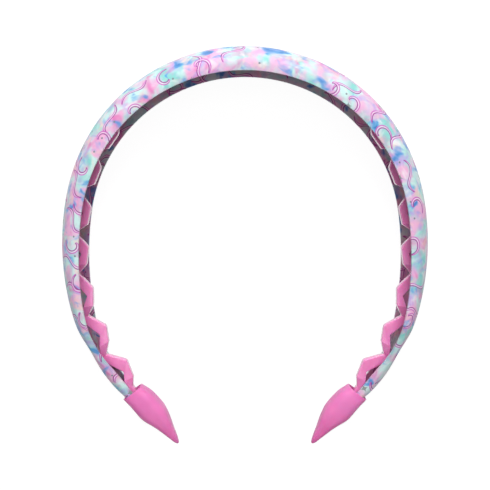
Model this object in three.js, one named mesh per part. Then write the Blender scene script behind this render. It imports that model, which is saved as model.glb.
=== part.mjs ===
// Adjustable headband: a hollow crowned band, two zigzag comb strips in its hollow and two end caps.
// Millimetres, +Z up. The headband lies on its side: the arch is in the XY plane with its crown
// towards +Y, and the width of the band stands along Z. The origin is at the bottom centre.
//
// Every piece is drawn along the rim line of the arch, in three distances: along the line from the
// crown (positive on the right leg), across the band from its middle, and inward from the rim line
// towards the head. The crest of the band is therefore at a negative inward distance.

import * as THREE from 'three';

// Rim line of one leg, from the crown down: tangent arcs, then straight on into the cap
const ARCH_ARCS = [
  { radius: 62.6, turn: 81.5 },
  { radius: 118, turn: 21.5 },
  { radius: 42, turn: 25 },
];

// Band: a C-shaped wall, full width over the crown and the sides and tapered at the ends.
// Its rims keep to the rim line, or lie outside it by the distance named rim.
const BAND_WIDTH = 22;
const BAND_WALL = 1.3;
const RIM_FLAT = 1.6;
const BAND_END = 169.5;
const BAND_SECTIONS = [
  { along: 0, width: 22, crown: 10.3, rim: 0 },
  { along: 49, width: 22, crown: 9.75, rim: 0 },
  { along: 82, width: 22, crown: 8.6, rim: 0 },
  { along: 103, width: 22, crown: 8.15, rim: 0.05 },
  { along: 122, width: 22, crown: 7.0, rim: 0.3 },
  { along: 133, width: 20, crown: 5.85, rim: 0.5 },
  { along: 142, width: 14.6, crown: 4.1, rim: 0.5 },
  { along: 147, width: 12, crown: 4.4, rim: 0.45 },
  { along: 153, width: 9.5, crown: 5.15, rim: 0.35 },
  { along: 160, width: 7.8, crown: 5.15, rim: 0.4 },
  { along: 164, width: 7.3, crown: 4.6, rim: 0.4 },
  { along: BAND_END, width: 6.6, crown: 3.5, rim: 0.4 },
];
const BAND_STEP = 4.5;
const BAND_ARC_FACES = 16;

// Zigzag strip: one row for each tooth from the top. A tooth starts at a valley, with a foot on its
// other side, turns at its peak, with a notch on its other side, and comes back over a shoulder.
// The columns ending in At are distances along, the others are inward.
const STRIP_DEPTH = 3.2;
const STRIP_CHAMFER = 0.55;
const TEETH = [
  { valleyAt: 50.5, valley: -4.6, foot: -7.3, peakAt: 55.8, peak: -0.2, notch: -2.6, shoulder: -0.1 },
  { valleyAt: 65.7, valley: -4.2, foot: -6.9, peakAt: 70.7, peak: 0.8, notch: -1.6, shoulder: 0.8 },
  { valleyAt: 81.6, valley: -4, foot: -6.4, peakAt: 86.8, peak: 1.6, notch: -1.2, shoulder: 1.2 },
  { valleyAt: 97.5, valley: -3.3, foot: -5.9, peakAt: 102.6, peak: 2, notch: -0.9, shoulder: 1.2 },
  { valleyAt: 113.3, valley: -2.2, foot: -5.5, peakAt: 119.2, peak: 2.9, notch: 0.15, shoulder: 2 },
  { valleyAt: 130, valley: -1, foot: -4.4, peakAt: 135.5, peak: 5.1, notch: 1.6, shoulder: 3.8 },
  { valleyAt: 146.8, valley: 0.15, foot: -2.85, peakAt: 153.5, peak: 5.6, notch: 1.6, shoulder: 3.5 },
];
const FOOT_AFTER_VALLEY = 1.2;
const NOTCH_AFTER_PEAK = 3.1;
const SHOULDER_AFTER_PEAK = 7;
const SHOULDER_SHARE = 0.45;
const TOOTH_LEAN = { valley: -0.6, peak: 0.2, shoulder: 0.6 };
const STRIP_START = { along: 41.5, inner: -5.6, outer: -8.0 };
const STRIP_TAIL = [
  { along: 163.2, inner: 1.0, outer: -2.6 },
  { along: 165.4, inner: 0.9, outer: -2.45 },
  { along: 170, inner: 0.8, outer: -1.8 },
];

// End cap: a leaf-shaped sleeve, drawn from its mouth to its tip, with a blind hollow
const CAP_MOUTH = 165.2;
const CAP_WALL = 0.6;
const CAP_HOLLOW = 9;
const CAP_SIDES = 24;
const CAP_FULLNESS = 3.2;
const CAP_SECTIONS = [
  { from: 0, outer: -5.25, inner: 3.55, depth: 9.6 },
  { from: 4, outer: -4.85, inner: 4.9, depth: 10.4 },
  { from: 7, outer: -4.75, inner: 5.35, depth: 10.5 },
  { from: 10.5, outer: -4.6, inner: 5.55, depth: 10.2 },
  { from: 12.5, outer: -4.1, inner: 5.5, depth: 9.8 },
  { from: 15, outer: -3.15, inner: 5.0, depth: 9.0 },
  { from: 18, outer: -2.2, inner: 4.15, depth: 7.8 },
  { from: 21.3, outer: -1.45, inner: 3.0, depth: 6.0 },
  { from: 24.4, outer: -0.8, inner: 2.1, depth: 4.2 },
  { from: 26.4, outer: -0.4, inner: 1.4, depth: 2.7 },
  { from: 27.4, outer: 0.1, inner: 0.9, depth: 1.3 },
];
const CAP_STEP = 1.8;

// Finishes
const BAND_FINISH = { color: 0xcfc4e6, roughness: 0.6, metalness: 0 };
const STRIP_FINISH = { color: 0xea78bb, roughness: 0.5, metalness: 0 };
const CAP_FINISH = { color: 0xee80c2, roughness: 0.55, metalness: 0 };

const ARCH_START = ARCH_ARCS[0].radius;

// Point and inward direction on the rim line at a distance along it, mirrored on the left leg
function rimAt(along) {
  const side = Math.sign(along) || 1;
  const point = new THREE.Vector2(0, ARCH_START);
  let heading = 0;
  let left = Math.abs(along);
  for (const { radius, turn } of ARCH_ARCS) {
    const swing = Math.min(left / radius, THREE.MathUtils.degToRad(turn));
    const chord = 2 * radius * Math.sin(swing / 2);
    point.x += chord * Math.cos(heading + swing / 2);
    point.y -= chord * Math.sin(heading + swing / 2);
    heading += swing;
    left -= swing * radius;
  }
  point.x += left * Math.cos(heading);
  point.y -= left * Math.sin(heading);
  return { x: side * point.x, y: point.y, inX: -side * Math.sin(heading), inY: -Math.cos(heading) };
}

// A place given along the rim line, across the band and inward becomes a point in space
function place({ along, across, inward }) {
  const rim = rimAt(along);
  const x = rim.x + rim.inX * inward;
  const y = rim.y + rim.inY * inward;
  return new THREE.Vector3(x, y, BAND_WIDTH / 2 + across);
}

// Smooth values between the rows of a table
function tableCurve(rows, key, names) {
  const at = rows.map((row) => row[key]);
  const values = rows.flatMap((row) => names.map((name) => row[name]));
  const curve = new THREE.CubicInterpolant(at, values, names.length);
  return (position) => {
    const found = curve.evaluate(position);
    return Object.fromEntries(names.map((name, i) => [name, found[i]]));
  };
}

// A closed body through a row of sections with equal numbers of places, flat at both ends
function loft(sections) {
  const count = sections[0].length;
  const positions = sections.flat().flatMap((spot) => place(spot).toArray());
  const index = [];
  for (let i = 0; i + 1 < sections.length; i += 1) {
    for (let j = 0; j < count; j += 1) {
      const a = i * count + j;
      const b = i * count + ((j + 1) % count);
      index.push(a, b, b + count, a, b + count, a + count);
    }
  }
  const last = (sections.length - 1) * count;
  for (const [a, b, c] of endFaces(sections[0])) {
    index.push(a, c, b);
  }
  for (const [a, b, c] of endFaces(sections[sections.length - 1])) {
    index.push(last + a, last + b, last + c);
  }
  const geometry = new THREE.BufferGeometry();
  geometry.setAttribute('position', new THREE.Float32BufferAttribute(positions, 3));
  geometry.setIndex(index);
  geometry.computeVertexNormals();
  return geometry;
}

// Triangles of an end section, all turned the same way round as its outline
function endFaces(section) {
  const outline = section.map(({ across, inward }) => new THREE.Vector2(across, inward));
  const faces = THREE.ShapeUtils.triangulateShape(outline, []);
  const turned = Math.sign(THREE.ShapeUtils.area(outline));
  return faces.map((face) => {
    const area = THREE.ShapeUtils.area(face.map((corner) => outline[corner]));
    return Math.sign(area) === turned ? face : [face[0], face[2], face[1]];
  });
}

// The same sections on the other leg
function onLeg(sections, side) {
  if (side > 0) return sections;
  const mirrored = sections.map((section) => section.map((spot) => ({ ...spot, along: -spot.along })));
  return mirrored.reverse();
}

// One face line of the band wall, from rim to rim over the crest
function wallLine(along, width, crown, rim) {
  const line = [{ along, across: -width / 2, inward: -rim }];
  const flatEnd = rim + RIM_FLAT;
  for (let i = 0; i <= BAND_ARC_FACES; i += 1) {
    const angle = (Math.PI * i) / BAND_ARC_FACES;
    const across = (-width / 2) * Math.cos(angle);
    const inward = -flatEnd - (crown - flatEnd) * Math.sin(angle);
    line.push({ along, across, inward });
  }
  line.push({ along, across: width / 2, inward: -rim });
  return line;
}

function bandGeometry() {
  const sizeAt = tableCurve(BAND_SECTIONS, 'along', ['width', 'crown', 'rim']);
  const steps = Math.round(BAND_END / BAND_STEP);
  const sections = [];
  for (let i = -steps; i <= steps; i += 1) {
    const along = (BAND_END * i) / steps;
    const { width, crown, rim } = sizeAt(Math.abs(along));
    const outerWidth = Math.min(width, BAND_WIDTH);
    const outer = wallLine(along, outerWidth, crown, rim);
    const inner = wallLine(along, outerWidth - 2 * BAND_WALL, crown - BAND_WALL, rim);
    sections.push([...outer, ...inner.reverse()]);
  }
  return loft(sections);
}

// The folds of the whole strip, from its hidden start to its tail in the cap. Each fold has a point on
// the inner and on the outer edge, as distances along and inward, and a lean across the band.
function stripFolds() {
  const straight = ({ along, inner, outer }) => ({
    inner: new THREE.Vector2(along, inner),
    outer: new THREE.Vector2(along, outer),
    lean: 0,
  });
  const feet = TEETH.map(({ valleyAt, foot }) => new THREE.Vector2(valleyAt + FOOT_AFTER_VALLEY, foot));
  const tail = STRIP_TAIL.map(straight);
  const folds = [straight(STRIP_START)];
  TEETH.forEach(({ valleyAt, valley, peakAt, peak, notch, shoulder }, i) => {
    const notchPoint = new THREE.Vector2(peakAt + NOTCH_AFTER_PEAK, notch);
    const nextFoot = feet[i + 1] ?? tail[0].outer;
    folds.push({
      inner: new THREE.Vector2(valleyAt, valley),
      outer: feet[i],
      lean: TOOTH_LEAN.valley,
    });
    folds.push({
      inner: new THREE.Vector2(peakAt, peak),
      outer: notchPoint,
      lean: TOOTH_LEAN.peak,
    });
    folds.push({
      inner: new THREE.Vector2(peakAt + SHOULDER_AFTER_PEAK, shoulder),
      outer: notchPoint.clone().lerp(nextFoot, SHOULDER_SHARE),
      lean: TOOTH_LEAN.shoulder,
    });
  });
  return [...folds, ...tail];
}

// Chamfered section of the strip at a fold
function stripSection({ inner, outer, lean }) {
  const half = STRIP_DEPTH / 2;
  const thickness = inner.distanceTo(outer);
  const corners = [
    [STRIP_CHAMFER - half, thickness],
    [-half, thickness - STRIP_CHAMFER],
    [-half, STRIP_CHAMFER],
    [STRIP_CHAMFER - half, 0],
    [half - STRIP_CHAMFER, 0],
    [half, STRIP_CHAMFER],
    [half, thickness - STRIP_CHAMFER],
    [half - STRIP_CHAMFER, thickness],
  ];
  return corners.map(([across, rise]) => {
    const spot = outer.clone().lerp(inner, rise / thickness);
    return { along: spot.x, across: across + lean, inward: spot.y };
  });
}

function zigzagGeometry(side) {
  return loft(onLeg(stripFolds().map(stripSection), side));
}

// Rounded section of a cap, drawn in by the wall where it lines the hollow
function capSection(size, from, wall) {
  const middle = (size.outer + size.inner) / 2;
  const halfHeight = (size.inner - size.outer) / 2 - wall;
  const halfDepth = size.depth / 2 - wall;
  const section = [];
  for (let i = 0; i < CAP_SIDES; i += 1) {
    const angle = (2 * Math.PI * i) / CAP_SIDES;
    const c = Math.cos(angle);
    const s = Math.sin(angle);
    const across = halfDepth * Math.sign(c) * Math.abs(c) ** (2 / CAP_FULLNESS);
    const inward = middle + halfHeight * Math.sign(s) * Math.abs(s) ** (2 / CAP_FULLNESS);
    section.push({ along: CAP_MOUTH + from, across, inward });
  }
  return section;
}

function capGeometry(side) {
  const sizeAt = tableCurve(CAP_SECTIONS, 'from', ['outer', 'inner', 'depth']);
  const tip = CAP_SECTIONS[CAP_SECTIONS.length - 1].from;
  const hollowSteps = Math.round(CAP_HOLLOW / CAP_STEP);
  const outerSteps = Math.round(tip / CAP_STEP);
  const sections = [];
  for (let i = hollowSteps; i >= 0; i -= 1) {
    const from = (CAP_HOLLOW * i) / hollowSteps;
    sections.push(capSection(sizeAt(from), from, CAP_WALL));
  }
  for (let i = 0; i <= outerSteps; i += 1) {
    const from = (tip * i) / outerSteps;
    sections.push(capSection(sizeAt(from), from, 0));
  }
  return loft(onLeg(sections, side));
}

function piece(name, geometry, finish) {
  const mesh = new THREE.Mesh(geometry, new THREE.MeshStandardMaterial(finish));
  mesh.name = name;
  return mesh;
}

const arch = new THREE.Group();
arch.add(piece('band', bandGeometry(), BAND_FINISH));
for (const [name, side] of [['left', -1], ['right', 1]]) {
  arch.add(piece(`zigzag_${name}`, zigzagGeometry(side), STRIP_FINISH));
  arch.add(piece(`cap_${name}`, capGeometry(side), CAP_FINISH));
}

// The middle of the arch's length stands at the origin
const reach = new THREE.Box3().setFromObject(arch);
arch.position.y = -(reach.min.y + reach.max.y) / 2;

const headband = new THREE.Group();
headband.add(arch);

export default headband;
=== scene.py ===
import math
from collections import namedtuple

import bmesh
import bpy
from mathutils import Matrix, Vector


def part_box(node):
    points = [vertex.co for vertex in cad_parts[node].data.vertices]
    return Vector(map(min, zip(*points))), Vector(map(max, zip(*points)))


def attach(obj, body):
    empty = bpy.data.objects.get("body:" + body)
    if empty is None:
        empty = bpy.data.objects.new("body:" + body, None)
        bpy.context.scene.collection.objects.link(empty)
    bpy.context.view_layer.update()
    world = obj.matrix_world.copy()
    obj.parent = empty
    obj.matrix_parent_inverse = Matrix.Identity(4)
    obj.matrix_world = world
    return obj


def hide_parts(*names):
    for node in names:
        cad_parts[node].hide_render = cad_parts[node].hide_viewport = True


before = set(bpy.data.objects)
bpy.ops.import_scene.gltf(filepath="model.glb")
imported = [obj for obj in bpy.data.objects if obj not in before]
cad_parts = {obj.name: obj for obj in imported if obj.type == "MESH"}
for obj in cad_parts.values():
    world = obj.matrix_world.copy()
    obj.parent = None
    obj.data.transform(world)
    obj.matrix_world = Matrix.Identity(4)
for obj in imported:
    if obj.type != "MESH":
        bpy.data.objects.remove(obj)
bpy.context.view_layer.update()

# Adjustable headband: a printed hollow band, two pink zigzag strips in its hollow and two pink end caps.
# The headband lies on its side with its crown towards +Y. Each piece is shaped as rings along the rim
# line of the arch. Sizes are in millimetres: along that line from the crown, across the band from its
# middle, and inward from the rim line towards the head.

MM = 0.001

# Rim line of one leg, from the crown down: tangent arcs, then straight on into the cap
ARCH_ARCS = [
    {"radius": 62.6, "turn": 81.5},
    {"radius": 118, "turn": 21.5},
    {"radius": 42, "turn": 25},
]

# Band: full width over the crown and the sides, tapered at the ends. Its rims keep to the rim line, or
# lie outside it by the distance named rim.
BAND_WALL = 1.3
RIM_FLAT = 1.6
BAND_END = 169.5
BAND_SECTIONS = [
    {"along": 0, "width": 22, "crown": 10.3, "rim": 0},
    {"along": 49, "width": 22, "crown": 9.75, "rim": 0},
    {"along": 82, "width": 22, "crown": 8.6, "rim": 0},
    {"along": 103, "width": 22, "crown": 8.15, "rim": 0.05},
    {"along": 122, "width": 22, "crown": 7.0, "rim": 0.3},
    {"along": 133, "width": 20, "crown": 5.85, "rim": 0.5},
    {"along": 142, "width": 14.6, "crown": 4.1, "rim": 0.5},
    {"along": 147, "width": 12, "crown": 4.4, "rim": 0.45},
    {"along": 153, "width": 9.5, "crown": 5.15, "rim": 0.35},
    {"along": 160, "width": 7.8, "crown": 5.15, "rim": 0.4},
    {"along": 164, "width": 7.3, "crown": 4.6, "rim": 0.4},
    {"along": BAND_END, "width": 6.6, "crown": 3.5, "rim": 0.4},
]
BAND_RINGS = 160
BAND_ARC_EDGES = 44
RIM_ROUNDING = 0.25

# Zigzag strip: one row for each tooth from the top. A tooth starts at a valley, with a foot on its
# other side, turns at its peak, with a notch on its other side, and comes back over a shoulder.
# The columns ending in at are distances along, the others are inward.
STRIP_DEPTH = 3.2
STRIP_ROUNDING = 0.4
PEAK_ROUNDING = 0.8
Tooth = namedtuple("Tooth", "valley_at valley foot peak_at peak notch shoulder")
TEETH = [
    Tooth(50.5, -4.6, -7.3, 55.8, -0.2, -2.6, -0.1),
    Tooth(65.7, -4.2, -6.9, 70.7, 0.8, -1.6, 0.8),
    Tooth(81.6, -4, -6.4, 86.8, 1.6, -1.2, 1.2),
    Tooth(97.5, -3.3, -5.9, 102.6, 2, -0.9, 1.2),
    Tooth(113.3, -2.2, -5.5, 119.2, 2.9, 0.15, 2),
    Tooth(130, -1, -4.4, 135.5, 5.1, 1.6, 3.8),
    Tooth(146.8, 0.15, -2.85, 153.5, 5.6, 1.6, 3.5),
]
FOOT_AFTER_VALLEY = 1.2
NOTCH_AFTER_PEAK = 3.1
SHOULDER_AFTER_PEAK = 7
SHOULDER_SHARE = 0.45
TOOTH_LEAN = {"valley": -0.6, "peak": 0.2, "shoulder": 0.6}
STRIP_START = {"along": 41.5, "inner": -5.6, "outer": -8.0}
STRIP_TAIL = [
    {"along": 163.2, "inner": 1.0, "outer": -2.6},
    {"along": 165.4, "inner": 0.9, "outer": -2.45},
    {"along": 170, "inner": 0.8, "outer": -1.8},
]

# End cap: a leaf-shaped sleeve, from its mouth to its tip, with a blind hollow
CAP_MOUTH = 165.2
CAP_WALL = 0.6
CAP_HOLLOW = 9
CAP_SIDES = 64
CAP_FULLNESS = 3.2
CAP_LIP_ROUNDING = 0.22
CAP_SECTIONS = [
    {"from": 0, "outer": -5.25, "inner": 3.55, "depth": 9.6},
    {"from": 4, "outer": -4.85, "inner": 4.9, "depth": 10.4},
    {"from": 7, "outer": -4.75, "inner": 5.35, "depth": 10.5},
    {"from": 10.5, "outer": -4.6, "inner": 5.55, "depth": 10.2},
    {"from": 12.5, "outer": -4.1, "inner": 5.5, "depth": 9.8},
    {"from": 15, "outer": -3.15, "inner": 5.0, "depth": 9.0},
    {"from": 18, "outer": -2.2, "inner": 4.15, "depth": 7.8},
    {"from": 21.3, "outer": -1.45, "inner": 3.0, "depth": 6.0},
    {"from": 24.4, "outer": -0.8, "inner": 2.1, "depth": 4.2},
    {"from": 26.4, "outer": -0.4, "inner": 1.4, "depth": 2.7},
    {"from": 27.4, "outer": 0.1, "inner": 0.9, "depth": 1.3},
]
CAP_STEP = 0.8

# Where the arch stands in the frame: its circle's middle on Y, and the middle of the band's width on Z
BAND_LOW, BAND_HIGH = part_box("band")
ARCH_START = ARCH_ARCS[0]["radius"]
ARCH_Y = BAND_HIGH[1] - (ARCH_START + BAND_SECTIONS[0]["crown"]) * MM
ARCH_Z = (BAND_LOW[2] + BAND_HIGH[2]) / 2

# One ring of a piece: its middle, its turn about Z, and its half sizes in the arch's plane and along Z
Ring = namedtuple("Ring", "middle turn high deep")


def paint(code):
    """A colour code such as F4B6D8 as the linear colour that a node takes"""
    levels = [int(code[i : i + 2], 16) / 255 for i in (0, 2, 4)]
    linear = [v / 12.92 if v <= 0.04045 else ((v + 0.055) / 1.055) ** 2.4 for v in levels]
    return (*linear, 1.0)


def rim_at(along):
    """Point on the rim line and heading there, clockwise from +X, mirrored on the left leg"""
    side = -1 if along < 0 else 1
    x, y, heading = 0.0, ARCH_START, 0.0
    left = abs(along)
    for arc in ARCH_ARCS:
        swing = min(left / arc["radius"], math.radians(arc["turn"]))
        chord = 2 * arc["radius"] * math.sin(swing / 2)
        x += chord * math.cos(heading + swing / 2)
        y -= chord * math.sin(heading + swing / 2)
        heading += swing
        left -= swing * arc["radius"]
    x += left * math.cos(heading)
    y -= left * math.sin(heading)
    return Vector((side * x, y)), side * heading


def place(along, inward, across=0.0):
    """The point in space at those distances along, inward and across"""
    rim, heading = rim_at(along)
    x = rim.x - inward * math.sin(heading)
    y = rim.y - inward * math.cos(heading)
    return Vector((x * MM, ARCH_Y + y * MM, ARCH_Z + across * MM))


def between(rows, key, name, at):
    """A value between the rows of a table, on a smooth curve through them"""
    spots = [row[key] for row in rows]
    values = [row[name] for row in rows]
    slopes = [(b - a) / (t - s) for s, t, a, b in zip(spots, spots[1:], values, values[1:])]
    i = max(k for k in range(len(slopes)) if k == 0 or spots[k] <= at)
    rise = (slopes[max(i - 1, 0)] + slopes[i]) / 2
    fall = (slopes[i] + slopes[min(i + 1, len(slopes) - 1)]) / 2
    span = spots[i + 1] - spots[i]
    p = (at - spots[i]) / span
    bend_in = (rise - slopes[i]) * span * p * (1 - p) ** 2
    bend_out = (slopes[i] - fall) * span * p * p * (1 - p)
    return values[i] + (values[i + 1] - values[i]) * p + bend_in + bend_out


# Ways of shaping, used by every piece

def start_piece(name, add, **values):
    """A new primitive, alone in the selection, in edit mode with all of it selected"""
    bpy.ops.object.select_all(action="DESELECT")
    add(**values)
    piece = bpy.context.object
    piece.name = name
    piece.data.name = name
    bpy.ops.object.mode_set(mode="EDIT")
    bpy.ops.mesh.select_all(action="SELECT")
    return piece


def turn_selected(angle, middle, axis="Z"):
    """Turns what is selected, anticlockwise seen from the axis's positive end"""
    bpy.ops.transform.rotate(value=-angle, orient_axis=axis, center_override=middle)


def set_first(ring):
    """Takes a unit section in the YZ plane to the first ring's size and place"""
    bpy.ops.transform.resize(value=(1, ring.high, ring.deep), center_override=(0, 0, 0))
    turn_selected(ring.turn, (0, 0, 0))
    bpy.ops.transform.translate(value=ring.middle)


def grow(before, after):
    """Extrudes the open end of a piece from one ring to the next"""
    step = after.middle - before.middle
    bpy.ops.mesh.extrude_region_move(TRANSFORM_OT_translate={"value": step})
    swing = (after.turn - before.turn + math.pi) % math.tau - math.pi
    if abs(swing) > 1e-9:
        turn_selected(swing, after.middle)
    stretch = after.high / before.high
    bpy.ops.transform.resize(
        value=(stretch, stretch, after.deep / before.deep), center_override=after.middle
    )


def select_points(piece, test):
    """Selects only the points whose place passes a test"""
    bpy.ops.mesh.select_mode(type="VERT")
    bpy.ops.mesh.select_all(action="DESELECT")
    mesh = bmesh.from_edit_mesh(piece.data)
    for point in mesh.verts:
        point.select_set(test(point.co))
    mesh.select_flush_mode()
    bmesh.update_edit_mesh(piece.data)


def tag_selected(piece, attribute, value):
    """Writes a value to the points that are selected in edit mode"""
    mesh = bmesh.from_edit_mesh(piece.data)
    layer = mesh.verts.layers.float[attribute]
    for point in mesh.verts:
        if point.select:
            point[layer] = value


def apply_modifier(piece, kind, **settings):
    """Adds a modifier with its settings and applies it"""
    bpy.context.view_layer.objects.active = piece
    modifier = piece.modifiers.new(kind.title(), kind)
    for name, value in settings.items():
        setattr(modifier, name, value)
    bpy.ops.object.modifier_apply(modifier=modifier.name)


def round_edges(piece, width, over_angle, segments=3, clamped=True):
    """Rounds every edge that is sharper than an angle"""
    apply_modifier(
        piece, "BEVEL", width=width * MM, segments=segments, limit_method="ANGLE",
        angle_limit=math.radians(over_angle), use_clamp_overlap=clamped,
    )


def shade(piece, angle):
    bpy.ops.object.select_all(action="DESELECT")
    piece.select_set(True)
    bpy.context.view_layer.objects.active = piece
    bpy.ops.object.shade_smooth_by_angle(angle=math.radians(angle))


def mirrored_copy(piece, name):
    """The same piece on the other leg, with its own mesh and its faces outward"""
    bpy.ops.object.select_all(action="DESELECT")
    piece.select_set(True)
    bpy.context.view_layer.objects.active = piece
    bpy.ops.object.duplicate()
    copy = bpy.context.object
    copy.name = name
    copy.data.name = name
    bpy.ops.object.mode_set(mode="EDIT")
    bpy.ops.mesh.select_all(action="SELECT")
    bpy.ops.transform.resize(value=(-1, 1, 1), center_override=(0, 0, 0))
    bpy.ops.mesh.normals_make_consistent(inside=False)
    bpy.ops.object.mode_set(mode="OBJECT")
    return copy


def finish_piece(piece, node, slot, *materials):
    """Gives a piece the materials it still lacks and puts it in the place of its node"""
    for material in materials:
        piece.data.materials.append(material)
    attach(piece, "root")
    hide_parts(node)


# Nodes

class Tree:
    """The nodes of one material or group, with short ways to add and join them"""

    def __init__(self, tree):
        self.tree = tree

    def feed(self, socket, value):
        if isinstance(value, bpy.types.NodeSocket):
            self.tree.links.new(value, socket)
        else:
            socket.default_value = value

    def add(self, kind, inputs=None, **settings):
        node = self.tree.nodes.new(kind)
        for name, value in settings.items():
            setattr(node, name, value)
        for key, value in (inputs or {}).items():
            self.feed(node.inputs[key], value)
        return node

    def math(self, operation, first, second=0.0):
        return self.add("ShaderNodeMath", {0: first, 1: second}, operation=operation).outputs[0]

    def ramp(self, value, low, high):
        """A smooth step from 0 at low to 1 at high, whichever of them is larger"""
        inputs = {"Value": value, "From Min": low, "From Max": high}
        return self.add("ShaderNodeMapRange", inputs, interpolation_type="SMOOTHSTEP").outputs[0]

    def mix(self, amount, first, second):
        """First colour where amount is 0, second where it is 1"""
        return self.add("ShaderNodeMix", {0: amount, 6: first, 7: second}, data_type="RGBA").outputs[2]


def place_group(tree, group, inputs):
    """Puts a node group in a tree with its own values"""
    node = tree.add("ShaderNodeGroup", node_tree=group)
    for name, value in inputs.items():
        tree.feed(node.inputs[name], value)
    return node.outputs


def new_group(name, inputs, outputs):
    """An empty shader node group with named inputs and outputs"""
    group = bpy.data.node_groups.new(name, "ShaderNodeTree")
    for label, kind in inputs:
        group.interface.new_socket(label, in_out="INPUT", socket_type="NodeSocket" + kind)
    for label, kind in outputs:
        group.interface.new_socket(label, in_out="OUTPUT", socket_type="NodeSocket" + kind)
    tree = Tree(group)
    source = tree.add("NodeGroupInput").outputs
    target = tree.add("NodeGroupOutput").inputs
    return group, tree, source, target


def new_material(name):
    """A material with a Principled shader, and its tree"""
    material = bpy.data.materials.new(name)
    material.use_nodes = True
    tree = Tree(material.node_tree)
    return material, tree, material.node_tree.nodes["Principled BSDF"].inputs


MARK_SCATTER = 0.45


def scattered_marks_group():
    """Scattered places, one to a cell: X and Y in millimetres from the nearest one, turned at random"""
    group, tree, source, target = new_group(
        "scattered_marks",
        [("Along", "Float"), ("Across", "Float"), ("Spacing", "Float"), ("Shift", "Float")],
        [("X", "Float"), ("Y", "Float"), ("Pick", "Float")],
    )
    along = tree.math("ADD", source["Along"], source["Shift"])
    across = tree.math("ADD", source["Across"], source["Shift"])
    spot = tree.add("ShaderNodeCombineXYZ", {"X": along, "Y": across}).outputs[0]
    cells_per_mm = tree.math("DIVIDE", 1.0, source["Spacing"])
    inputs = {0: spot, "Scale": cells_per_mm}
    scaled = tree.add("ShaderNodeVectorMath", inputs, operation="SCALE").outputs[0]
    cells = tree.add(
        "ShaderNodeTexVoronoi", {"Vector": scaled, "Scale": 1.0, "Randomness": MARK_SCATTER},
        voronoi_dimensions="2D", feature="F1",
    ).outputs
    inputs = {0: scaled, 1: cells["Position"]}
    away = tree.add("ShaderNodeVectorMath", inputs, operation="SUBTRACT").outputs[0]
    chance = tree.add("ShaderNodeSeparateColor", {0: cells["Color"]}).outputs
    angle = tree.math("MULTIPLY", chance[0], math.tau)
    inputs = {"Vector": away, "Angle": angle}
    turned = tree.add("ShaderNodeVectorRotate", inputs, rotation_type="Z_AXIS").outputs[0]
    local = tree.add("ShaderNodeSeparateXYZ", {0: turned}).outputs
    tree.feed(target["X"], tree.math("MULTIPLY", local[0], source["Spacing"]))
    tree.feed(target["Y"], tree.math("MULTIPLY", local[1], source["Spacing"]))
    tree.feed(target["Pick"], chance[1])
    return group


def ribbon_line_group():
    """A painted ribbon from the distance to its middle line and the share of its width that is left"""
    group, tree, source, target = new_group(
        "ribbon_line",
        [("Distance", "Float"), ("Half Width", "Float"), ("Edge", "Float"), ("Taper", "Float")],
        [("Dark Edge", "Float"), ("Light Edge", "Float"), ("Fill", "Float")],
    )
    half = tree.math("MULTIPLY", source["Half Width"], source["Taper"])
    shown = tree.ramp(source["Taper"], 0.1, 0.35)
    soft = tree.math("MULTIPLY", source["Edge"], 0.3)

    def stripe(side, outside, inside):
        beside = tree.math("SUBTRACT", source["Distance"], tree.math("MULTIPLY", half, side))
        mask = tree.ramp(tree.math("ABSOLUTE", beside), outside, inside)
        return tree.math("MULTIPLY", mask, shown)

    tree.feed(target["Dark Edge"], stripe(-1.0, source["Edge"], soft))
    tree.feed(target["Light Edge"], stripe(1.0, source["Edge"], soft))
    tree.feed(target["Fill"], stripe(0.0, half, tree.math("MULTIPLY", half, 0.5)))
    return group


# The print: watercolour clouds with brushed waves and curls, sparkles and dots. Sizes in millimetres.
PRINT_GROUND = "CFF1EE"
PRINT_CLOUDS = [
    {"colour": "7FD6D0", "size": 9.0, "shift": 3.0, "low": 0.40, "high": 0.66, "strength": 0.9},
    {"colour": "F6B0DC", "size": 8.5, "shift": 41.0, "low": 0.41, "high": 0.64, "strength": 0.92},
    {"colour": "E05FB2", "size": 7.0, "shift": 57.0, "low": 0.50, "high": 0.76, "strength": 0.8},
    {"colour": "B8A4E8", "size": 7.0, "shift": 97.0, "low": 0.50, "high": 0.74, "strength": 0.75},
    {"colour": "F8D2C6", "size": 6.0, "shift": 133.0, "low": 0.52, "high": 0.78, "strength": 0.7},
    {"colour": "4FA8E8", "size": 6.4, "shift": 171.0, "low": 0.52, "high": 0.70, "strength": 0.9},
    {"colour": "1F55AC", "size": 6.4, "shift": 171.0, "low": 0.58, "high": 0.84, "strength": 0.8},
    {"colour": "FFFFFF", "size": 5.5, "shift": 211.0, "low": 0.54, "high": 0.82, "strength": 0.7},
]
CLOUD_DETAIL = 2.0
CLOUD_SWIRL = 0.7
RIBBON = {"half_width": 0.46, "edge": 0.34}
WAVE = {"spacing": 13.0, "shift": 5.0, "pick": 0.15, "half_length": 6.2, "height": 1.9}
CURL = {"spacing": 14.5, "shift": 61.0, "pick": 0.12, "radius": 2.7, "opening": 0.8, "half_turn": 2.1}
SPARKLE = {"spacing": 12.0, "shift": 23.0, "pick": 0.62, "reach": 2.2}
DOT = {"spacing": 8.0, "shift": 77.0, "pick": 0.72, "radius": 0.5}
RIBBON_PAINT = [
    {"part": "Fill", "colour": "FBE6F7", "strength": 0.65},
    {"part": "Light Edge", "colour": "CF5CC2", "strength": 0.9},
    {"part": "Dark Edge", "colour": "9C2496", "strength": 0.95},
]
SPARKLE_GREY = "8E9A98"
DOT_GREY = "7F8C93"


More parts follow.
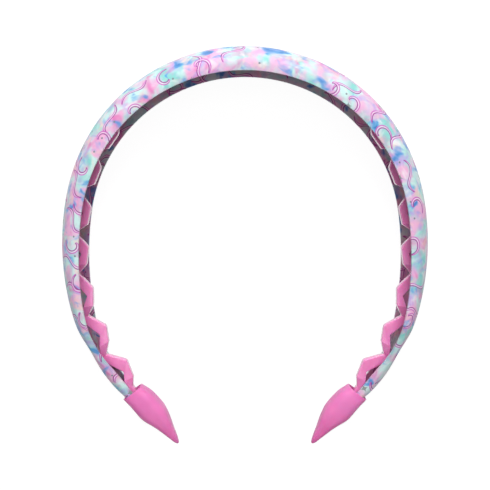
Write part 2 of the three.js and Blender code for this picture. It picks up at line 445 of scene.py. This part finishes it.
def print_group(scattered_marks, ribbon_line):
    """The pastel print, from the distances along and across the band in millimetres"""
    group, tree, source, target = new_group(
        "pastel_print",
        [("Along", "Float"), ("Across", "Float")],
        [("Color", "Color"), ("Ink", "Float")],
    )
    spot = tree.add("ShaderNodeCombineXYZ", {"X": source["Along"], "Y": source["Across"]}).outputs[0]

    colour = paint(PRINT_GROUND)
    for cloud in PRINT_CLOUDS:
        inputs = {"Location": (cloud["shift"],) * 3, "Scale": (1 / cloud["size"],) * 3, "Vector": spot}
        mapped = tree.add("ShaderNodeMapping", inputs).outputs[0]
        inputs = {"Vector": mapped, "Scale": 1.0, "Detail": CLOUD_DETAIL, "Distortion": CLOUD_SWIRL}
        noise = tree.add("ShaderNodeTexNoise", inputs).outputs[0]
        amount = tree.math("MULTIPLY", tree.ramp(noise, cloud["low"], cloud["high"]), cloud["strength"])
        colour = tree.mix(amount, colour, paint(cloud["colour"]))

    def marks(kind):
        inputs = {"Along": source["Along"], "Across": source["Across"]}
        inputs.update({"Spacing": kind["spacing"], "Shift": kind["shift"]})
        found = place_group(tree, scattered_marks, inputs)
        shown = tree.math("GREATER_THAN", found["Pick"], kind["pick"])
        return found["X"], found["Y"], shown

    def ribbon(distance, along_line, shown):
        """A ribbon that narrows to both ends, where along_line reaches 1 or -1"""
        left = tree.math("SUBTRACT", 1.0, tree.math("MULTIPLY", along_line, along_line))
        taper = tree.math("MULTIPLY", tree.math("SQRT", tree.math("MAXIMUM", left, 0.0)), shown)
        inputs = {"Half Width": RIBBON["half_width"], "Edge": RIBBON["edge"]}
        inputs.update({"Distance": distance, "Taper": taper})
        return place_group(tree, ribbon_line, inputs)

    x, y, shown = marks(WAVE)
    pace = math.pi / WAVE["half_length"]
    swing = tree.math("MULTIPLY", tree.math("SINE", tree.math("MULTIPLY", x, pace)), WAVE["height"])
    along_wave = tree.math("DIVIDE", x, WAVE["half_length"])
    wave = ribbon(tree.math("SUBTRACT", y, swing), along_wave, shown)

    x, y, shown = marks(CURL)
    angle = tree.math("ARCTAN2", y, x)
    flat = tree.add("ShaderNodeCombineXYZ", {"X": x, "Y": y}).outputs[0]
    reach = tree.add("ShaderNodeVectorMath", {0: flat}, operation="LENGTH").outputs["Value"]
    round_line = tree.math("ADD", CURL["radius"], tree.math("MULTIPLY", angle, CURL["opening"]))
    along_curl = tree.math("DIVIDE", angle, CURL["half_turn"])
    curl = ribbon(tree.math("SUBTRACT", reach, round_line), along_curl, shown)

    x, y, shown = marks(SPARKLE)
    arms = [tree.math("SQRT", tree.math("ABSOLUTE", value)) for value in (x, y)]
    tip = math.sqrt(SPARKLE["reach"])
    star = tree.ramp(tree.math("ADD", *arms), tip, 0.85 * tip)
    sparkle = tree.math("MULTIPLY", star, shown)

    x, y, shown = marks(DOT)
    flat = tree.add("ShaderNodeCombineXYZ", {"X": x, "Y": y}).outputs[0]
    reach = tree.add("ShaderNodeVectorMath", {0: flat}, operation="LENGTH").outputs["Value"]
    dot = tree.math("MULTIPLY", tree.ramp(reach, DOT["radius"], 0.5 * DOT["radius"]), shown)

    for amount, code in ((sparkle, SPARKLE_GREY), (dot, DOT_GREY)):
        colour = tree.mix(amount, colour, paint(code))
    for stroke in (wave, curl):
        for layer in RIBBON_PAINT:
            amount = tree.math("MULTIPLY", stroke[layer["part"]], layer["strength"])
            colour = tree.mix(amount, colour, paint(layer["colour"]))
    tree.feed(target["Color"], colour)
    tree.feed(target["Ink"], tree.math("MAXIMUM", wave["Fill"], curl["Fill"]))
    return group


def weave_group():
    """Fine satin weave as a height, from the distances along and across in millimetres"""
    group, tree, source, target = new_group(
        "fine_weave",
        [("Along", "Float"), ("Across", "Float"), ("Pitch", "Float")],
        [("Height", "Float")],
    )
    waves = []
    for name in ("Along", "Across"):
        turns = tree.math("DIVIDE", source[name], source["Pitch"])
        waves.append(tree.math("SINE", tree.math("MULTIPLY", turns, math.tau)))
    tree.feed(target["Height"], tree.math("MULTIPLY", *waves))
    return group


def grain_group():
    """Moulded plastic: a fine grain as a height, and a slow drift of tone from place to place"""
    group, tree, source, target = new_group(
        "moulded_grain",
        [("Grains per m", "Float"), ("Drifts per m", "Float")],
        [("Height", "Float"), ("Drift", "Float")],
    )
    spot = tree.add("ShaderNodeTexCoord").outputs["Object"]
    for output, scale, detail in (("Height", "Grains per m", 3.0), ("Drift", "Drifts per m", 2.0)):
        inputs = {"Vector": spot, "Scale": source[scale], "Detail": detail, "Roughness": 0.6}
        tree.feed(target[output], tree.add("ShaderNodeTexNoise", inputs).outputs[0])
    return group


def band_coordinates(tree):
    """The distances along and across the band that its mesh carries, in millimetres"""
    return {
        name: tree.add("ShaderNodeAttribute", attribute_name=name.lower()).outputs["Fac"]
        for name in ("Along", "Across")
    }


CLOTH = {"weave": 0.5, "bump": 0.08, "bump_depth": 0.0001, "ink_gloss": 0.12}
CLOTH_SHEEN = {"weight": 0.12, "roughness": 0.5}


def cloth_material(name, print_cloth, weave, painted_shade_tint, roughness):
    """The printed cloth, multiplied by a tint; a tint darker than white is painted shade"""
    material, tree, shader = new_material(name)
    spots = band_coordinates(tree)
    printed = place_group(tree, print_cloth, spots)
    inputs = {0: 1.0, 6: printed["Color"], 7: paint(painted_shade_tint)}
    painted_shade_print = tree.add("ShaderNodeMix", inputs, data_type="RGBA", blend_type="MULTIPLY").outputs[2]
    tree.feed(shader["Base Color"], painted_shade_print)
    gloss = tree.math("MULTIPLY", printed["Ink"], CLOTH["ink_gloss"])
    tree.feed(shader["Roughness"], tree.math("SUBTRACT", roughness, gloss))
    threads = place_group(tree, weave, {**spots, "Pitch": CLOTH["weave"]})
    inputs = {"Height": threads["Height"], "Strength": CLOTH["bump"], "Distance": CLOTH["bump_depth"]}
    tree.feed(shader["Normal"], tree.add("ShaderNodeBump", inputs).outputs[0])
    shader["Sheen Weight"].default_value = CLOTH_SHEEN["weight"]
    shader["Sheen Roughness"].default_value = CLOTH_SHEEN["roughness"]
    return material


PLASTIC = {"grains": 2600.0, "drifts": 90.0, "bump": 0.12, "bump_depth": 0.0001, "uneven": 0.06}
GLOSS_ROUGHNESS = 0.1
GLOW_THROUGH = {"weight": 0.3, "radius": (1.0, 0.25, 0.55), "scale": 0.002}


def pink_material(name, grain, light, dark, roughness, gloss):
    """Moulded pink plastic between two close tones, with a gloss that shows on its edges"""
    material, tree, shader = new_material(name)
    found = place_group(tree, grain, {"Grains per m": PLASTIC["grains"], "Drifts per m": PLASTIC["drifts"]})
    darker = tree.ramp(found["Drift"], 0.35, 0.65)
    tree.feed(shader["Base Color"], tree.mix(darker, paint(light), paint(dark)))
    smooth, rough = roughness - PLASTIC["uneven"], roughness + PLASTIC["uneven"]
    inputs = {"Value": found["Drift"], "To Min": smooth, "To Max": rough}
    tree.feed(shader["Roughness"], tree.add("ShaderNodeMapRange", inputs).outputs[0])
    inputs = {"Height": found["Height"], "Strength": PLASTIC["bump"], "Distance": PLASTIC["bump_depth"]}
    tree.feed(shader["Normal"], tree.add("ShaderNodeBump", inputs).outputs[0])
    shader["Coat Weight"].default_value = gloss
    shader["Coat Roughness"].default_value = GLOSS_ROUGHNESS
    shader["Subsurface Weight"].default_value = GLOW_THROUGH["weight"]
    shader["Subsurface Radius"].default_value = GLOW_THROUGH["radius"]
    shader["Subsurface Scale"].default_value = GLOW_THROUGH["scale"]
    return material


# Band

def band_size(along):
    """Width, crown and rim of the band at a distance along"""
    names = ("width", "crown", "rim")
    width, crown, rim = (between(BAND_SECTIONS, "along", name, abs(along)) for name in names)
    return min(width, BAND_SECTIONS[0]["width"]), crown, rim


def half_arc(along):
    """Length of the band's surface from the crest to the flat beside the rim: a quarter of an ellipse"""
    width, crown, rim = band_size(along)
    a = width / 2
    b = crown - rim - RIM_FLAT
    return math.pi * (3 * (a + b) - math.sqrt((3 * a + b) * (a + 3 * b))) / 4


def band_ring(along):
    width, crown, rim = band_size(along)
    edge = rim + RIM_FLAT
    return Ring(place(along, -edge), -rim_at(along)[1], (crown - edge) * MM, width / 2 * MM)


def make_band(outside, painted_shade_lining):
    # Half a circle of edges over the crest. Each point keeps its share of the way from crest to edge.
    add_circle = bpy.ops.mesh.primitive_circle_add
    piece = start_piece("band_shell", add_circle, vertices=2 * BAND_ARC_EDGES, radius=1)
    bpy.ops.object.mode_set(mode="OBJECT")
    for name in ("along", "across"):
        piece.data.attributes.new(name, "FLOAT", "POINT")
    bpy.ops.object.mode_set(mode="EDIT")
    bpy.ops.mesh.select_all(action="SELECT")
    turn_selected(math.pi / 2, (0, 0, 0), "Y")
    bpy.ops.mesh.bisect(plane_co=(0, 0, 0), plane_no=(0, 1, 0), clear_inner=True)
    mesh = bmesh.from_edit_mesh(piece.data)
    across = mesh.verts.layers.float["across"]
    line = sorted(mesh.verts, key=lambda point: point.co.z)
    width, crown, rim = band_size(0)
    size = Vector((1, crown - rim - RIM_FLAT, width / 2))
    steps = [((b.co - a.co) * size).length for a, b in zip(line, line[1:])]
    walked = 0.0
    for point, step in zip(line, [*steps, 0.0]):
        point[across] = 2 * walked / sum(steps) - 1
        walked += step

    # The arc of the section grows from one end of the band to the other
    bpy.ops.mesh.select_mode(type="EDGE")
    bpy.ops.mesh.select_all(action="SELECT")
    spots = [BAND_END * (2 * i / BAND_RINGS - 1) for i in range(BAND_RINGS + 1)]
    rings = [band_ring(along) for along in spots]
    set_first(rings[0])
    tag_selected(piece, "along", spots[0])
    for along, before, after in zip(spots[1:], rings, rings[1:]):
        grow(before, after)
        tag_selected(piece, "along", along)

    # The flats beside the rims are drawn out of both edges, straight towards the head
    mesh = bmesh.from_edit_mesh(piece.data)
    across = mesh.verts.layers.float["across"]
    for edge in mesh.edges:
        edge.select_set(all(abs(point[across]) > 0.999 for point in edge.verts))
    bmesh.update_edit_mesh(piece.data)
    bpy.ops.mesh.extrude_edges_move()
    mesh = bmesh.from_edit_mesh(piece.data)
    along = mesh.verts.layers.float["along"]
    across = mesh.verts.layers.float["across"]
    for point in mesh.verts:
        point[across] *= half_arc(point[along])
        if point.select:
            point.co += place(point[along], RIM_FLAT) - place(point[along], 0)
            point[across] += math.copysign(RIM_FLAT, point[across])
    bmesh.update_edit_mesh(piece.data)
    bpy.ops.mesh.select_all(action="SELECT")
    bpy.ops.mesh.normals_make_consistent(inside=False)
    bpy.ops.object.mode_set(mode="OBJECT")
    crest = max(piece.data.polygons, key=lambda face: face.center.y)
    if crest.normal.y < 0:
        piece.data.flip_normals()

    # The wall: its inner face takes the print darkened as painted shade, its rim keeps the print
    piece.data.materials.append(outside)
    piece.data.materials.append(painted_shade_lining)
    apply_modifier(
        piece, "SOLIDIFY", thickness=BAND_WALL * MM, offset=-1, use_even_offset=True,
        use_rim=True, material_offset=1, material_offset_rim=0,
    )
    round_edges(piece, RIM_ROUNDING, 50)
    shade(piece, 40)
    return piece


# Zigzag strips

def strip_folds():
    """The folds of the right strip: a point on its inner edge, one on its outer edge, and a lean"""
    def straight(row):
        return (row["along"], row["inner"]), (row["along"], row["outer"]), 0.0

    feet = [(tooth.valley_at + FOOT_AFTER_VALLEY, tooth.foot) for tooth in TEETH]
    tail = [straight(row) for row in STRIP_TAIL]
    next_feet = [*feet[1:], tail[0][1]]
    folds = [straight(STRIP_START)]
    for tooth, foot, next_foot in zip(TEETH, feet, next_feet):
        peak_at = tooth.peak_at
        notch = Vector((peak_at + NOTCH_AFTER_PEAK, tooth.notch))
        behind = notch.lerp(Vector(next_foot), SHOULDER_SHARE)
        folds.append(((tooth.valley_at, tooth.valley), foot, TOOTH_LEAN["valley"]))
        folds.append(((peak_at, tooth.peak), notch, TOOTH_LEAN["peak"]))
        folds.append(((peak_at + SHOULDER_AFTER_PEAK, tooth.shoulder), behind, TOOTH_LEAN["shoulder"]))
    return folds + tail


def strip_ring(fold):
    inner, outer, lean = fold
    inner = place(*inner, lean)
    outer = place(*outer, lean)
    thickness = outer - inner
    turn = math.atan2(thickness.y, thickness.x) - math.pi / 2
    return Ring((inner + outer) / 2, turn, thickness.length / 2, STRIP_DEPTH / 2 * MM)


def make_strip():
    piece = start_piece("zigzag_strip_right", bpy.ops.mesh.primitive_plane_add, size=2)
    bpy.ops.mesh.select_mode(type="FACE")
    turn_selected(math.pi / 2, (0, 0, 0), "Y")
    rings = [strip_ring(fold) for fold in strip_folds()]
    set_first(rings[0])
    for before, after in zip(rings, rings[1:]):
        grow(before, after)
    bpy.ops.mesh.select_all(action="SELECT")
    bpy.ops.mesh.normals_make_consistent(inside=False)

    # Round peaks, then rounded edges all along, with the folds left as creases
    peaks = [place(tooth.peak_at, tooth.peak).to_2d() for tooth in TEETH]
    select_points(piece, lambda spot: any((spot.to_2d() - peak).length < 0.01 * MM for peak in peaks))
    bpy.ops.mesh.bevel(offset=PEAK_ROUNDING * MM, segments=6, affect="EDGES")
    bpy.ops.object.mode_set(mode="OBJECT")
    round_edges(piece, STRIP_ROUNDING, 40, segments=8, clamped=False)
    shade(piece, 13)
    return piece


# End caps

def cap_ring(start, wall):
    outer, inner, depth = (between(CAP_SECTIONS, "from", name, start) for name in ("outer", "inner", "depth"))
    along = CAP_MOUTH + start
    middle = place(along, (outer + inner) / 2)
    high = (inner - outer) / 2 - wall
    return Ring(middle, -rim_at(along)[1], high * MM, (depth / 2 - wall) * MM)


def make_cap():
    # The floor of the hollow, then up its wall to the mouth, over the lip and along the outside to the tip
    piece = start_piece(
        "end_cap_right", bpy.ops.mesh.primitive_circle_add, vertices=CAP_SIDES, radius=1, fill_type="NGON"
    )
    turn_selected(math.pi / 2, (0, 0, 0), "Y")
    mesh = bmesh.from_edit_mesh(piece.data)
    for point in mesh.verts:
        fuller = sum(abs(c) ** CAP_FULLNESS for c in point.co) ** (-1 / CAP_FULLNESS)
        point.co *= fuller
    bmesh.update_edit_mesh(piece.data)
    tip = CAP_SECTIONS[-1]["from"]
    hollow_steps = round(CAP_HOLLOW / CAP_STEP)
    outer_steps = round(tip / CAP_STEP)
    rings = [cap_ring(CAP_HOLLOW * i / hollow_steps, CAP_WALL) for i in range(hollow_steps, -1, -1)]
    rings += [cap_ring(tip * i / outer_steps, 0) for i in range(outer_steps + 1)]
    set_first(rings[0])
    bpy.ops.mesh.select_mode(type="EDGE")
    bpy.ops.mesh.region_to_loop()
    for before, after in zip(rings, rings[1:]):
        grow(before, after)
    bpy.ops.mesh.edge_face_add()
    bpy.ops.mesh.select_all(action="SELECT")
    bpy.ops.mesh.normals_make_consistent(inside=False)
    bpy.ops.object.mode_set(mode="OBJECT")
    round_edges(piece, CAP_LIP_ROUNDING, 60)
    shade(piece, 50)
    return piece


# Finishes

marks = scattered_marks_group()
ribbons = ribbon_line_group()
print_cloth = print_group(marks, ribbons)
weave = weave_group()
grain = grain_group()
printed_cloth = cloth_material("printed_cloth", print_cloth, weave, "FFFFFF", 0.5)
# Inner face: the print darkened and turned mauve by its tint, painted shade for the band's hollow
cloth_back_painted_shade = cloth_material("cloth_back_painted_shade", print_cloth, weave, "DCBEC6", 0.8)
strip_pink = pink_material("strip_pink", grain, "FA92CD", "F284C2", 0.28, 0.8)
cap_pink = pink_material("cap_pink", grain, "FA84C8", "F576BF", 0.45, 0.0)

# Pieces

band = make_band(printed_cloth, cloth_back_painted_shade)
finish_piece(band, "band", "band_print")
strip_right = make_strip()
strip_left = mirrored_copy(strip_right, "zigzag_strip_left")
cap_right = make_cap()
cap_left = mirrored_copy(cap_right, "end_cap_left")
finish_piece(strip_right, "zigzag_right", "strip_pink", strip_pink)
finish_piece(strip_left, "zigzag_left", "strip_pink", strip_pink)
finish_piece(cap_right, "cap_right", "cap_pink", cap_pink)
finish_piece(cap_left, "cap_left", "cap_pink", cap_pink)

# Studio: a white floor that glows a little, a broad key light from the crown's side and a soft one overhead

FLOOR_SIZE = 6.0
FLOOR_COLOUR = "6E6E6E"
FLOOR_GLOW = 0.92
WORLD_LIGHT = 0.26
LIGHTS = [
    {"name": "key", "from": (0.03, 0.77, 0.52), "size": 0.6, "power": 7.1},
    {"name": "overhead", "from": (0.0, 0.1, 0.9), "size": 0.8, "power": 2.5},
]


def make_floor():
    bpy.ops.object.select_all(action="DESELECT")
    bpy.ops.mesh.primitive_plane_add(size=FLOOR_SIZE)
    floor = bpy.context.object
    floor.name = "floor"
    floor.visible_diffuse = False
    material, tree, shader = new_material("floor_white")
    shader["Base Color"].default_value = paint(FLOOR_COLOUR)
    shader["Roughness"].default_value = 0.9
    shader["Emission Color"].default_value = (1, 1, 1, 1)
    shader["Emission Strength"].default_value = FLOOR_GLOW
    floor.data.materials.append(material)


def make_light(light):
    bpy.ops.object.light_add(type="AREA", location=light["from"])
    lamp = bpy.context.object
    lamp.name = light["name"] + "_light"
    lamp.data.shape = "DISK"
    lamp.data.size = light["size"]
    lamp.data.energy = light["power"]
    lamp.rotation_euler = Vector(light["from"]).to_track_quat("Z", "Y").to_euler()


def make_world():
    """Dim even light for the object, and white behind it in the picture"""
    scene = bpy.context.scene
    scene.world = bpy.data.worlds.new("studio")
    scene.world.use_nodes = True
    tree = Tree(scene.world.node_tree)
    backdrop = scene.world.node_tree.nodes["Background"].inputs
    backdrop["Color"].default_value = (1, 1, 1, 1)
    seen = tree.add("ShaderNodeLightPath").outputs["Is Camera Ray"]
    strength = tree.add("ShaderNodeMapRange", {"Value": seen, "To Min": WORLD_LIGHT, "To Max": 1.0})
    tree.feed(backdrop["Strength"], strength.outputs[0])
    scene.view_settings.view_transform = "Standard"


# The picture is taken from above, a little from the crown's side
CAMERA_AIM = Vector((0, 0.001475, 0.011))
CAMERA_AWAY = 0.3162
CAMERA_TILT = math.radians(4.63)
CAMERA_LENS = 59.2


def make_camera():
    lean = Vector((0, math.sin(CAMERA_TILT), math.cos(CAMERA_TILT)))
    bpy.ops.object.camera_add(location=CAMERA_AIM + CAMERA_AWAY * lean, rotation=(-CAMERA_TILT, 0, 0))
    camera = bpy.context.object
    camera.data.lens = CAMERA_LENS
    camera.data.sensor_width = 36
    camera.data.clip_start = 0.01
    bpy.context.scene.camera = camera


make_floor()
make_world()
for light in LIGHTS:
    make_light(light)
make_camera()
